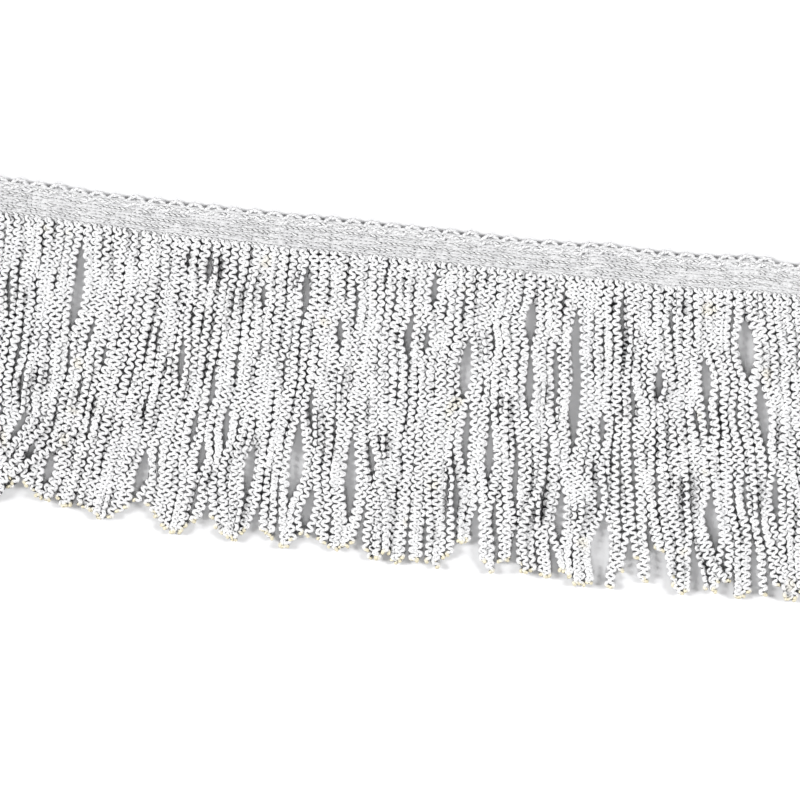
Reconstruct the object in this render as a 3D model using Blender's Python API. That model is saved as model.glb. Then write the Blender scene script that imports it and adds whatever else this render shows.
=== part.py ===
"""A cut length of white fringe trim, lying flat.

A knitted heading with a scalloped edge runs along X.  Two layers of crimped
strands hang from it towards -Y, one lying on the other, each held by a narrow
strip under the heading's lower edge.  The trim rests on Z = 0.

All sizes and tables are in millimetres.  A place along the heading is counted
from a mark that lies LEFT_OF_MARK in from the left cut end.  A depth is counted
from the heading's general line towards the tips.
"""

import math
from collections import namedtuple

import bmesh
import bpy
from mathutils import Vector, noise

MM = 0.001

# Driving sizes
SCALLOP_PITCH = 6.02
SCALLOPS = 50
LEFT_OF_MARK = 27.1
STRANDS_TO_A_SCALLOP = 2
STRAND_PITCH = SCALLOP_PITCH / STRANDS_TO_A_SCALLOP

# The heading's section
SCALLOP_RISE = 1.25
SCALLOP_FLAT = 0.12
SCALLOP_STEPS = 5
RIBS = 5
RIB_TOP = 1.9
RIB_FOOT = 1.45
EDGE_THICKNESS = 1.2
KNIT_UNEVEN = 0.1

# The fringe's section
CLEARANCE = 0.3
STRIP_DEPTH = 1.3
LAYER_THICKNESS = 1.0
STRAND_WIDTH = 1.8
STRAND_ROOM = 2.15
TIP_WIDTH = 1.1
LEVELS = 9
DEEPEST = 104.0
SHORTEST_LAST_STEP = 0.35
RIDGE_DIP = 0.3

# How far a strand wanders from its lean, over which depth it turns back, and
# how unlike its neighbour it is
WANDER = 0.75
WANDER_DEPTH = 21.0
WANDER_UNLIKE = 0.9

# The heading's upper edge, on its scallops, and its lower edge
Edge = namedtuple("Edge", "along upper lower")
EDGES = [
    Edge(-28.0, -2.6, 9.0),
    Edge(6.0, -1.8, 9.7),
    Edge(18.0, -1.3, 10.0),
    Edge(30.0, -0.5, 10.4),
    Edge(50.0, 0.0, 11.0),
    Edge(90.0, 0.1, 11.2),
    Edge(130.0, -0.1, 11.1),
    Edge(150.0, 0.3, 11.1),
    Edge(163.0, 0.4, 11.2),
    Edge(175.0, 0.2, 11.2),
    Edge(187.0, -0.9, 11.0),
    Edge(199.0, 0.0, 11.1),
    Edge(215.0, -0.4, 10.9),
    Edge(223.0, -0.8, 10.3),
    Edge(232.0, -1.6, 9.8),
    Edge(241.0, -0.6, 10.0),
    Edge(274.0, -1.2, 9.6),
]

# How far the strands' tips lie to the right of their roots, and how late the
# strands bend that way: 1 leans from the root on, more bends nearer the tip
Lean = namedtuple("Lean", "along tips bend")
LEANS = [
    Lean(-28.0, -3.0, 2.0),
    Lean(10.0, -6.0, 2.2),
    Lean(45.0, -10.0, 2.0),
    Lean(70.0, -5.0, 1.8),
    Lean(95.0, -2.0, 1.6),
    Lean(115.0, 3.0, 1.6),
    Lean(135.0, 3.0, 1.4),
    Lean(150.0, 6.0, 1.4),
    Lean(165.0, 7.0, 1.2),
    Lean(185.0, 4.0, 1.2),
    Lean(200.0, 12.0, 1.2),
    Lean(215.0, 14.0, 1.15),
    Lean(232.0, 19.0, 1.1),
    Lean(274.0, 15.0, 1.2),
]

# The gaps that part the strands: where each starts and ends, and its width
Gap = namedtuple("Gap", "along end_along top bottom width")
GAPS = [
    Gap(-12.0, -13.0, 22.0, 44.0, 1.8),
    Gap(-4.0, -7.0, 62.0, 84.0, 2.0),
    Gap(27.5, 27.5, 17.0, 43.0, 2.8),
    Gap(37.9, 37.9, 44.0, 54.0, 1.5),
    Gap(60.5, 60.5, 31.0, 62.0, 0.9),
    Gap(66.0, 66.0, 16.0, 24.0, 1.4),
    Gap(16.5, 11.2, 66.0, 80.0, 2.2),
    Gap(18.5, 18.0, 77.0, 88.0, 2.5),
    Gap(23.8, 23.4, 80.0, 92.0, 3.2),
    Gap(52.8, 52.2, 77.0, 90.0, 2.2),
    Gap(76.0, 76.0, 58.0, 74.0, 1.6),
    Gap(71.0, 69.3, 71.0, 85.0, 1.4),
    Gap(83.2, 83.2, 22.0, 30.0, 1.4),
    Gap(96.1, 96.1, 19.0, 31.0, 1.5),
    Gap(107.3, 107.3, 30.0, 38.0, 1.4),
    Gap(135.4, 135.4, 13.0, 27.0, 1.4),
    Gap(134.0, 134.0, 30.0, 40.0, 2.0),
    Gap(147.2, 147.2, 30.0, 53.0, 3.0),
    Gap(128.7, 128.7, 27.0, 41.0, 1.3),
    Gap(149.0, 150.7, 56.0, 76.0, 1.7),
    Gap(156.2, 157.6, 57.0, 76.0, 1.8),
    Gap(85.6, 85.6, 70.0, 92.0, 2.2),
    Gap(99.4, 99.4, 63.0, 89.0, 3.4),
    Gap(104.0, 103.4, 82.0, 97.0, 2.3),
    Gap(114.3, 115.5, 65.0, 93.0, 2.4),
    Gap(165.5, 165.5, 19.0, 32.0, 2.6),
    Gap(178.0, 182.0, 17.0, 64.0, 3.2),
    Gap(174.2, 176.0, 29.0, 56.0, 1.9),
    Gap(167.5, 167.7, 34.0, 53.0, 2.1),
    Gap(205.4, 206.6, 33.0, 46.0, 2.0),
    Gap(218.5, 221.0, 28.0, 45.0, 2.0),
    Gap(230.5, 232.5, 18.0, 36.0, 3.6),
    Gap(236.0, 240.0, 36.0, 55.0, 3.0),
    Gap(224.0, 229.0, 74.0, 92.0, 2.6),
    Gap(179.9, 179.9, 74.0, 96.0, 2.4),
    Gap(193.7, 193.7, 82.0, 99.0, 3.0),
    Gap(243.2, 247.0, 60.0, 85.0, 2.0),
    Gap(256.0, 259.0, 26.0, 50.0, 2.2),
    Gap(271.0, 275.0, 58.0, 82.0, 2.0),
]
GAP_REACH = 7.5
GAP_ROUNDNESS = 0.6

# How deep the tips reach, with the notches between the locks
Tip = namedtuple("Tip", "along depth")
TIPS = [
    Tip(-32.0, 95.0),
    Tip(-8.0, 96.5),
    Tip(10.3, 95.5),
    Tip(15.6, 88.5),
    Tip(21.0, 94.5),
    Tip(25.0, 94.0),
    Tip(27.9, 88.0),
    Tip(31.0, 96.0),
    Tip(47.0, 98.0),
    Tip(52.5, 92.0),
    Tip(58.0, 99.5),
    Tip(70.0, 100.0),
    Tip(72.5, 93.0),
    Tip(77.8, 100.7),
    Tip(84.7, 100.5),
    Tip(88.8, 94.0),
    Tip(94.0, 99.8),
    Tip(98.8, 101.4),
    Tip(102.9, 96.3),
    Tip(111.0, 99.9),
    Tip(117.5, 99.9),
    Tip(119.9, 94.2),
    Tip(125.7, 102.0),
    Tip(144.5, 102.3),
    Tip(148.6, 97.8),
    Tip(155.0, 92.5),
    Tip(158.0, 101.8),
    Tip(177.0, 101.8),
    Tip(186.0, 103.4),
    Tip(199.0, 103.4),
    Tip(203.6, 90.0),
    Tip(207.5, 101.0),
    Tip(211.5, 87.0),
    Tip(216.5, 102.4),
    Tip(226.0, 102.2),
    Tip(229.0, 96.0),
    Tip(236.5, 102.5),
    Tip(262.0, 101.5),
    Tip(295.0, 100.0),
]
TIP_VARIATION = 2.4
TIP_UNLIKE = 1.7

# The two layers of strands: where the first root lies, counted in pitches, and
# how high the layer lies
Layer = namedtuple("Layer", "name first_root height seed")
LAYERS = [
    Layer("fringe_under", 0.25, 0.0, 3.7),
    Layer("fringe_over", 0.75, LAYER_THICKNESS + CLEARANCE, 11.3),
]


def read(table, place, column):
    """A column's value at a place, eased from row to row of a table."""
    before = table[0]
    for after in table[1:]:
        if place <= after.along:
            break
        before = after
    share = (place - before.along) / max(after.along - before.along, 1e-9)
    share = min(max(share, 0.0), 1.0)
    eased = share * share * (3.0 - 2.0 * share)
    first = getattr(before, column)
    return first + (getattr(after, column) - first) * eased


def point(along, depth, height):
    """A point of the trim in metres, from sizes in millimetres."""
    return Vector((along * MM, -depth * MM, height * MM))


# Lay of the strands

def lean_at(root, depth):
    """How far a strand has moved to the right at a depth, by its lean alone."""
    top = read(EDGES, root, "lower") + CLEARANCE + STRIP_DEPTH
    share = max(depth - top, 0.0) / (DEEPEST - top)
    return read(LEANS, root, "tips") * share ** read(LEANS, root, "bend")


def root_under(along, depth):
    """The root whose strand, by its lean alone, passes a place."""
    root = along
    for _ in range(12):
        root = along - lean_at(root, depth)
    return root


def gap_push(root, depth):
    """How far the gaps push a strand sideways at a depth."""
    push = 0.0
    for gap in GAPS:
        if not gap.top < depth < gap.bottom:
            continue
        share = (depth - gap.top) / (gap.bottom - gap.top)
        middle = root_under(0.5 * (gap.along + gap.end_along), 0.5 * (gap.top + gap.bottom))
        drift = root_under(gap.along + (gap.end_along - gap.along) * share, depth) - middle
        opening = math.sin(math.pi * share) ** GAP_ROUNDNESS
        half = 0.5 * (gap.width + STRAND_WIDTH / 2.0) * opening
        side = 1.0 if root > middle else -1.0
        push += (drift + side * half) * math.exp(-abs(root - middle) / GAP_REACH)
    return push


def kept_apart(places, least):
    """The nearest places in the same order that lie at least so far apart."""
    runs = []
    for number, place in enumerate(places):
        runs.append((place - number * least, 1))
        while len(runs) > 1 and runs[-2][0] > runs[-1][0]:
            late, late_count = runs.pop()
            early, early_count = runs.pop()
            count = early_count + late_count
            runs.append(((early * early_count + late * late_count) / count, count))
    spread = [value for value, count in runs for _ in range(count)]
    return [value + number * least for number, value in enumerate(spread)]


def layer_roots(layer):
    """The places of a layer's roots along the heading."""
    count = SCALLOPS * STRANDS_TO_A_SCALLOP
    return [(number + layer.first_root) * STRAND_PITCH - LEFT_OF_MARK for number in range(count)]


def strand_lines(layer):
    """Each strand's middle line, as a list of (along, depth) from root to tip."""
    roots = layer_roots(layer)
    tops = [read(EDGES, root, "lower") + CLEARANCE + STRIP_DEPTH for root in roots]
    lines = [[(root, top)] for root, top in zip(roots, tops)]
    step = (DEEPEST - max(tops)) / LEVELS
    done = set()
    for level in range(1, LEVELS + 1):
        depth = max(tops) + level * step
        places = []
        for number, root in enumerate(roots):
            drift = noise.noise(Vector((number * WANDER_UNLIKE, depth / WANDER_DEPTH, layer.seed)))
            places.append(root + lean_at(root, depth) + gap_push(root, depth) + WANDER * drift)
        places = kept_apart(places, STRAND_ROOM)
        for number, place in enumerate(places):
            if number in done:
                continue
            shorter = noise.noise(Vector((number * TIP_UNLIKE, 0.5, layer.seed)))
            tip = read(TIPS, place, "depth") - TIP_VARIATION * abs(shorter)
            if depth + SHORTEST_LAST_STEP * step < tip:
                lines[number].append((place, depth))
                continue
            last_place, last_depth = lines[number][-1]
            share = (tip - last_depth) / (depth - last_depth)
            lines[number].append((last_place + (place - last_place) * share, tip))
            done.add(number)
    return lines


# Solids

def make_object(name, mesh, material, parent):
    """A named object from a finished bmesh, with its faces pointing out."""
    data = bpy.data.meshes.new(name)
    bmesh.ops.recalc_face_normals(mesh, faces=mesh.faces)
    mesh.to_mesh(data)
    mesh.free()
    thing = bpy.data.objects.new(name, data)
    thing.data.materials.append(material)
    thing.parent = parent
    bpy.context.scene.collection.objects.link(thing)
    return thing


def make_material(name, colour, roughness):
    """A plain yarn material."""
    material = bpy.data.materials.new(name)
    material.use_nodes = True
    shader = material.node_tree.nodes["Principled BSDF"]
    shader.inputs["Base Color"].default_value = (*colour, 1.0)
    shader.inputs["Roughness"].default_value = roughness
    shader.inputs["Metallic"].default_value = 0.0
    return material


def scallop_outline(cell):
    """The raised points of one scallop, as (along, depth), between its two hollows."""
    left = cell * SCALLOP_PITCH - LEFT_OF_MARK
    points = []
    for step in range(SCALLOP_STEPS + 1):
        share = step / SCALLOP_STEPS
        along = left + (SCALLOP_FLAT + (1.0 - 2.0 * SCALLOP_FLAT) * share) * SCALLOP_PITCH
        rise = SCALLOP_RISE * math.sin(math.pi * share)
        points.append((along, read(EDGES, along, "upper") + SCALLOP_RISE - rise))
    return points


def make_heading(material, parent):
    """The heading: ribs along it on the upper face, and a scalloped upper edge."""
    mesh = bmesh.new()
    rows = 2 * RIBS + 1
    columns = []
    for line in range(SCALLOPS + 1):
        along = line * SCALLOP_PITCH - LEFT_OF_MARK
        hollow = read(EDGES, along, "upper") + SCALLOP_RISE
        lower = read(EDGES, along, "lower")
        upper_face = []
        for row in range(rows):
            depth = hollow + (lower - hollow) * row / (rows - 1)
            height = RIB_TOP if row % 2 else RIB_FOOT
            if row in (0, rows - 1):
                height = EDGE_THICKNESS
            height += KNIT_UNEVEN * noise.noise(Vector((line * 0.8, row * 1.3, 0.5)))
            upper_face.append(mesh.verts.new(point(along, depth, height)))
        under_face = [mesh.verts.new(point(along, depth, 0.0)) for depth in (hollow, lower)]
        columns.append((upper_face, under_face))
    for line in range(SCALLOPS):
        (upper, under), (next_upper, next_under) = columns[line], columns[line + 1]
        for row in range(rows - 1):
            mesh.faces.new((upper[row], upper[row + 1], next_upper[row + 1], next_upper[row]))
        mesh.faces.new((under[0], next_under[0], next_under[1], under[1]))
        mesh.faces.new((upper[-1], under[1], next_under[1], next_upper[-1]))
        outline = scallop_outline(line)
        crest = [mesh.verts.new(point(along, depth, EDGE_THICKNESS)) for along, depth in outline]
        foot = [mesh.verts.new(point(along, depth, 0.0)) for along, depth in outline]
        crest = [upper[0], *crest, next_upper[0]]
        foot = [under[0], *foot, next_under[0]]
        mesh.faces.new(crest)
        mesh.faces.new(foot)
        for number in range(len(crest) - 1):
            mesh.faces.new((crest[number], crest[number + 1], foot[number + 1], foot[number]))
    for upper, under in (columns[0], columns[-1]):
        mesh.faces.new((*upper, under[1], under[0]))
    return make_object("heading", mesh, material, parent)


def make_layer(layer, material, parent):
    """A layer of the fringe: its strip, and three-sided strands grown from the strip's lower side."""
    mesh = bmesh.new()
    floor = layer.height
    roof = layer.height + LAYER_THICKNESS
    lines = strand_lines(layer)

    def section(along, depth, width, ridge):
        """A strand's section: two points on its flat foot and one on its ridge."""
        left = mesh.verts.new(point(along - 0.5 * width, depth, floor))
        right = mesh.verts.new(point(along + 0.5 * width, depth, floor))
        return left, right, mesh.verts.new(point(along, depth, ridge))

    roots = []
    for number, line in enumerate(lines):
        last = section(*line[0], STRAND_WIDTH, roof)
        roots.append(last)
        for step, (along, depth) in enumerate(line[1:], start=2):
            width = TIP_WIDTH if step == len(line) else STRAND_WIDTH
            dip = RIDGE_DIP * abs(noise.noise(Vector((step * 0.8, number * 1.1, layer.seed))))
            this = section(along, depth, width, roof - dip)
            for side in range(3):
                after = (side + 1) % 3
                mesh.faces.new((last[side], last[after], this[after], this[side]))
            last = this
        mesh.faces.new(last)

    back = []
    for line in range(len(roots) + 1):
        along = line * STRAND_PITCH - LEFT_OF_MARK + (layer.first_root - 0.5) * STRAND_PITCH
        depth = read(EDGES, along, "lower") + CLEARANCE
        back.append([mesh.verts.new(point(along, depth, height)) for height in (floor, roof)])
    for number, (left, right, ridge) in enumerate(roots):
        foot, head = back[number]
        next_foot, next_head = back[number + 1]
        mesh.faces.new((foot, head, next_head, next_foot))
        mesh.faces.new((foot, next_foot, right, left))
        if number + 1 < len(roots):
            next_left, _, next_ridge = roots[number + 1]
            mesh.faces.new((ridge, next_ridge, next_left, right))
            mesh.faces.new((ridge, next_head, next_ridge))
            mesh.faces.new((right, next_foot, next_left))
        mesh.faces.new((ridge, head, next_head))
    first, last = roots[0], roots[-1]
    mesh.faces.new((back[0][0], back[0][1], first[2], first[0]))
    mesh.faces.new((back[-1][0], back[-1][1], last[2], last[1]))
    return make_object(layer.name, mesh, material, parent)


def settle(lay, things):
    """Moves the whole trim so that the middle of its box lies on the origin, on the floor."""
    corners = [vertex.co for thing in things for vertex in thing.data.vertices]
    for axis in (0, 1):
        values = [corner[axis] for corner in corners]
        lay.location[axis] = -0.5 * (min(values) + max(values))


def main():
    for thing in list(bpy.data.objects):
        bpy.data.objects.remove(thing, do_unlink=True)
    lay = bpy.data.objects.new("lay_of_the_trim", None)
    bpy.context.scene.collection.objects.link(lay)
    knit = make_material("heading_yarn", (0.80, 0.80, 0.81), 0.70)
    yarn = make_material("fringe_yarn", (0.88, 0.88, 0.87), 0.60)
    things = [make_heading(knit, lay)]
    things += [make_layer(layer, yarn, lay) for layer in LAYERS]
    settle(lay, things)


main()
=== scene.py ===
# %% [markdown]
# # A white fringe trim, from its yarns up
#
# The trim is a length of crimped-yarn fringe lying flat: a knitted heading with a scalloped edge, and
# two layers of zig-zag strands that hang from it. This script dresses the solid model with yarns. The
# solids give the place and size of every part, and the yarns follow the same lines.

# %% Load the solid model
import math
from collections import namedtuple

import bpy
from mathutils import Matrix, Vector, noise


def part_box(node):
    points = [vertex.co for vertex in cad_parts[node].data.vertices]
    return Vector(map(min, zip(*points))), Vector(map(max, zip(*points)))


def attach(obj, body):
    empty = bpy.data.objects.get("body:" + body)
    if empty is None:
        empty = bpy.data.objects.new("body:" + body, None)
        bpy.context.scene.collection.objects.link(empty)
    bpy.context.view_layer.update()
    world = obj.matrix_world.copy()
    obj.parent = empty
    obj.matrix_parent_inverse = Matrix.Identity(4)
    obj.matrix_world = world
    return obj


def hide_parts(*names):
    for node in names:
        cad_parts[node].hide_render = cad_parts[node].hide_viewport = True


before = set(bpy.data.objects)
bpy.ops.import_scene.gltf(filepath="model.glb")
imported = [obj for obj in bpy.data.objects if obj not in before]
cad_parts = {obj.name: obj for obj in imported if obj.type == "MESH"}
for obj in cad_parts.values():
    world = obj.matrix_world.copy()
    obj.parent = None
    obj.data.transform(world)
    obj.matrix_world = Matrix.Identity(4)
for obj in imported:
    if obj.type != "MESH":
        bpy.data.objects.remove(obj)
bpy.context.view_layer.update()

MM = 0.001

# %% [markdown]
# ## Where things lie
#
# Sizes are in millimetres. A place along the heading is counted from a mark 27.1 mm in from the left
# cut end, and a depth from the level of the heading's upper edge near its middle, towards the tips. The
# tables hold the bow of the heading, the lean of the strands, the gaps between them and the bunches that
# their tips make. They were read off a photograph of the laid trim. The rows left of 0 and right of 246,
# beyond its sides, are made up. Cloth or hair could be simulated instead, but it wouldn't put the gaps
# where they are on the real trim.

# %% Sizes of the trim
SCALLOP_PITCH = 6.02
SCALLOPS = 50
LEFT_OF_MARK = 27.1
HEADING_LENGTH = SCALLOPS * SCALLOP_PITCH
STRANDS_TO_A_SCALLOP = 2
STRAND_PITCH = SCALLOP_PITCH / STRANDS_TO_A_SCALLOP
print("cut length %.1f mm, a strand of each layer every %.2f mm" % (HEADING_LENGTH, STRAND_PITCH))

# %% The heading's two edges
Edge = namedtuple("Edge", "along upper lower")
EDGES = [
    Edge(-28.0, -2.6, 9.0),
    Edge(6.0, -1.8, 9.7),
    Edge(18.0, -1.3, 10.0),
    Edge(30.0, -0.5, 10.4),
    Edge(50.0, 0.0, 11.0),
    Edge(90.0, 0.1, 11.2),
    Edge(130.0, -0.1, 11.1),
    Edge(150.0, 0.3, 11.1),
    Edge(163.0, 0.4, 11.2),
    Edge(175.0, 0.2, 11.2),
    Edge(187.0, -0.9, 11.0),
    Edge(199.0, 0.0, 11.1),
    Edge(215.0, -0.4, 10.9),
    Edge(223.0, -0.8, 10.3),
    Edge(232.0, -1.6, 9.8),
    Edge(241.0, -0.6, 10.0),
    Edge(274.0, -1.2, 9.6),
]

# %% How the strands lean
Lean = namedtuple("Lean", "along tips bend")
LEANS = [
    Lean(-28.0, -3.0, 2.0),
    Lean(10.0, -6.0, 2.2),
    Lean(45.0, -10.0, 2.0),
    Lean(70.0, -5.0, 1.8),
    Lean(95.0, -2.0, 1.6),
    Lean(115.0, 3.0, 1.6),
    Lean(135.0, 3.0, 1.4),
    Lean(150.0, 6.0, 1.4),
    Lean(165.0, 7.0, 1.2),
    Lean(185.0, 4.0, 1.2),
    Lean(200.0, 12.0, 1.2),
    Lean(215.0, 14.0, 1.15),
    Lean(232.0, 19.0, 1.1),
    Lean(274.0, 15.0, 1.2),
]

# %% The gaps between the locks
Gap = namedtuple("Gap", "along end_along top bottom width")
GAPS = [
    Gap(-12.0, -13.0, 22.0, 44.0, 1.8),
    Gap(-4.0, -7.0, 62.0, 84.0, 2.0),
    Gap(27.5, 27.5, 17.0, 43.0, 2.8),
    Gap(37.9, 37.9, 44.0, 54.0, 1.5),
    Gap(60.5, 60.5, 31.0, 62.0, 0.9),
    Gap(66.0, 66.0, 16.0, 24.0, 1.4),
    Gap(16.5, 11.2, 66.0, 80.0, 2.2),
    Gap(18.5, 18.0, 77.0, 88.0, 2.5),
    Gap(23.8, 23.4, 80.0, 92.0, 3.2),
    Gap(52.8, 52.2, 77.0, 90.0, 2.2),
    Gap(76.0, 76.0, 58.0, 74.0, 1.6),
    Gap(71.0, 69.3, 71.0, 85.0, 1.4),
    Gap(83.2, 83.2, 22.0, 30.0, 1.4),
    Gap(96.1, 96.1, 19.0, 31.0, 1.5),
    Gap(107.3, 107.3, 30.0, 38.0, 1.4),
    Gap(135.4, 135.4, 13.0, 27.0, 1.4),
    Gap(134.0, 134.0, 30.0, 40.0, 2.0),
    Gap(147.2, 147.2, 30.0, 53.0, 3.0),
    Gap(128.7, 128.7, 27.0, 41.0, 1.3),
    Gap(149.0, 150.7, 56.0, 76.0, 1.7),
    Gap(156.2, 157.6, 57.0, 76.0, 1.8),
    Gap(85.6, 85.6, 70.0, 92.0, 2.2),
    Gap(99.4, 99.4, 63.0, 89.0, 3.4),
    Gap(104.0, 103.4, 82.0, 97.0, 2.3),
    Gap(114.3, 115.5, 65.0, 93.0, 2.4),
    Gap(165.5, 165.5, 19.0, 32.0, 2.6),
    Gap(178.0, 182.0, 17.0, 64.0, 3.2),
    Gap(174.2, 176.0, 29.0, 56.0, 1.9),
    Gap(167.5, 167.7, 34.0, 53.0, 2.1),
    Gap(205.4, 206.6, 33.0, 46.0, 2.0),
    Gap(218.5, 221.0, 28.0, 45.0, 2.0),
    Gap(230.5, 232.5, 18.0, 36.0, 3.6),
    Gap(236.0, 240.0, 36.0, 55.0, 3.0),
    Gap(224.0, 229.0, 74.0, 92.0, 2.6),
    Gap(179.9, 179.9, 74.0, 96.0, 2.4),
    Gap(193.7, 193.7, 82.0, 99.0, 3.0),
    Gap(243.2, 247.0, 60.0, 85.0, 2.0),
    Gap(256.0, 259.0, 26.0, 50.0, 2.2),
    Gap(271.0, 275.0, 58.0, 82.0, 2.0),
]

# %% The narrow gaps, which only the yarns show
FINE_REACH = 2.5
FINE_GAPS = [
    Gap(5.8, 7.2, 23.3, 45.7, 0.6),
    Gap(11.3, 2.1, 67.3, 75.4, 2.9),
    Gap(14.3, 12.4, 52.3, 64.6, 1.1),
    Gap(15.2, 15.3, 24.5, 37.9, 0.6),
    Gap(17.2, 17.6, 53.8, 61.7, 0.8),
    Gap(21.2, 20.6, 23.9, 31.3, 0.7),
    Gap(26.5, 27.0, 43.7, 54.1, 0.9),
    Gap(32.3, 32.2, 35.3, 46.6, 1.1),
    Gap(36.9, 34.0, 73.1, 85.9, 0.7),
    Gap(60.9, 58.7, 88.9, 99.7, 0.5),
    Gap(67.6, 65.6, 60.4, 73.3, 0.8),
    Gap(70.3, 69.2, 85.0, 97.9, 0.7),
    Gap(72.1, 70.8, 51.4, 63.4, 0.8),
    Gap(74.1, 75.0, 14.8, 24.5, 0.7),
    Gap(85.0, 84.8, 62.8, 68.9, 0.9),
    Gap(91.1, 92.9, 42.5, 55.0, 0.8),
    Gap(101.4, 101.2, 51.7, 62.0, 0.7),
    Gap(108.2, 108.5, 88.9, 97.3, 0.6),
    Gap(111.2, 112.4, 16.1, 36.7, 0.7),
    Gap(117.6, 118.0, 19.6, 25.6, 0.7),
    Gap(119.5, 120.5, 64.7, 78.4, 0.8),
    Gap(139.9, 138.9, 20.3, 28.7, 1.0),
    Gap(144.0, 143.8, 16.6, 28.9, 0.8),
    Gap(147.3, 148.6, 76.6, 84.2, 1.1),
    Gap(152.8, 152.8, 44.0, 52.6, 0.8),
    Gap(153.2, 154.4, 14.9, 23.3, 0.8),
    Gap(154.5, 154.5, 82.4, 94.6, 0.7),
    Gap(154.6, 154.9, 25.0, 38.0, 0.6),
    Gap(159.7, 159.9, 23.2, 32.5, 0.7),
    Gap(159.8, 160.6, 79.9, 93.5, 1.0),
    Gap(161.2, 163.4, 58.9, 72.5, 1.0),
    Gap(162.4, 167.5, 52.7, 87.5, 0.8),
    Gap(162.8, 162.6, 89.9, 100.6, 0.7),
    Gap(162.9, 164.0, 32.9, 45.8, 0.7),
    Gap(164.5, 165.8, 82.7, 91.1, 0.9),
    Gap(174.2, 174.6, 58.9, 67.7, 1.0),
    Gap(175.0, 175.7, 14.3, 22.1, 1.0),
    Gap(184.5, 184.6, 90.2, 97.9, 0.8),
    Gap(188.1, 190.4, 50.6, 59.8, 1.0),
    Gap(190.3, 191.0, 71.3, 81.7, 0.6),
    Gap(191.8, 193.8, 16.7, 28.7, 0.7),
    Gap(198.0, 200.9, 38.9, 50.9, 0.7),
    Gap(198.9, 201.0, 27.2, 38.6, 0.6),
    Gap(202.9, 203.8, 56.2, 62.5, 0.7),
    Gap(203.0, 204.6, 87.2, 95.3, 0.6),
    Gap(206.6, 208.6, 17.3, 25.1, 1.2),
    Gap(216.9, 219.2, 46.4, 53.5, 0.7),
    Gap(220.8, 224.4, 44.6, 56.0, 0.7),
]

# %% The bunches of tips
Bunch = namedtuple("Bunch", "along depth notch_along notch_depth")
BUNCHES = [
    Bunch(-24.0, 95.5, -18.0, 93.0),
    Bunch(-12.0, 96.5, -4.0, 92.5),
    Bunch(6.5, 96.7, 15.5, 88.6),
    Bunch(20.9, 94.3, 22.1, 94.3),
    Bunch(23.6, 95.2, 25.4, 93.4),
    Bunch(28.7, 96.7, 32.3, 94.9),
    Bunch(41.8, 98.8, 51.8, 92.5),
    Bunch(64.1, 100.9, 72.5, 94.6),
    Bunch(81.2, 101.5, 89.0, 95.5),
    Bunch(92.9, 99.7, 94.4, 98.5),
    Bunch(98.3, 102.4, 101.3, 97.0),
    Bunch(103.5, 97.6, 105.8, 97.6),
    Bunch(113.5, 100.9, 119.3, 97.9),
    Bunch(125.4, 102.7, 127.7, 100.6),
    Bunch(132.0, 103.3, 134.0, 100.9),
    Bunch(137.0, 102.1, 140.0, 100.9),
    Bunch(144.3, 103.0, 146.6, 98.5),
    Bunch(147.5, 99.4, 149.9, 94.9),
    Bunch(152.3, 95.5, 154.7, 94.3),
    Bunch(160.4, 103.0, 163.1, 100.0),
    Bunch(164.7, 100.3, 166.7, 94.0),
    Bunch(171.5, 102.4, 174.8, 100.3),
    Bunch(177.0, 103.6, 179.3, 99.4),
    Bunch(187.8, 104.0, 194.0, 101.8),
    Bunch(198.0, 104.0, 203.0, 90.7),
    Bunch(207.6, 102.1, 209.9, 88.0),
    Bunch(218.7, 103.6, 223.4, 99.7),
    Bunch(228.5, 102.4, 231.8, 96.4),
    Bunch(236.9, 103.3, 240.8, 99.7),
    Bunch(243.8, 101.8, 245.9, 96.7),
    Bunch(252.0, 102.0, 257.0, 98.0),
    Bunch(263.0, 101.5, 270.0, 97.5),
    Bunch(278.0, 101.0, 285.0, 97.0),
    Bunch(292.0, 100.5, 300.0, 97.0),
]
Tip = namedtuple("Tip", "along depth")
TIPS = [
    tip
    for bunch in BUNCHES
    for tip in (Tip(bunch.along, bunch.depth), Tip(bunch.notch_along, bunch.notch_depth))
]
print(len(GAPS), "wide gaps,", len(FINE_GAPS), "narrow gaps,", len(BUNCHES), "bunches of tips")

# %% [markdown]
# A few strands of the upper layer stray across their neighbours near the tips. The first and the last
# row of the next table follow the photograph, and the other four are made up.

# %% The strays
Stray = namedtuple("Stray", "root start end sideways")
STRAYS = [
    Stray(34.0, 71.0, 92.0, -19.0),
    Stray(25.0, 66.0, 90.0, -10.0),
    Stray(10.0, 76.0, 94.0, 8.0),
    Stray(118.0, 66.0, 92.0, 5.0),
    Stray(171.0, 62.0, 90.0, -5.0),
    Stray(211.0, 90.0, 101.0, 8.0),
]
print(len(STRAYS), "strays")


# %% Read a table at any place
def blend(low, high, value):
    """0 below low, 1 above high and a smooth rise between them."""
    share = min(max((value - low) / (high - low), 0.0), 1.0)
    return share * share * (3.0 - 2.0 * share)


def read(table, along, column):
    """A column's value at a place along the trim, eased from row to row of a table."""
    before = table[0]
    for after in table[1:]:
        if along <= after.along:
            break
        before = after
    share = (along - before.along) / max(after.along - before.along, 1e-9)
    first = getattr(before, column)
    return first + (getattr(after, column) - first) * blend(0.0, 1.0, share)


def chance(across, down, seed):
    """A smooth chance value round 0, the same in each run."""
    return noise.noise(Vector((across, down, seed)))


def chance_share(across, down, seed):
    """A smooth chance value round a half."""
    return 0.5 + 0.5 * chance(across, down, seed)


# %% [markdown]
# ## From the trim's places to the scene
#
# The solid heading shows where the trim's own places lie in the scene: its left end is the left cut
# end, and its highest point is the highest scallop. So nothing here has to be measured twice.

# %% The scalloped edge
SCALLOP_RISE = 1.25
SCALLOP_FLAT = 0.12


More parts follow.
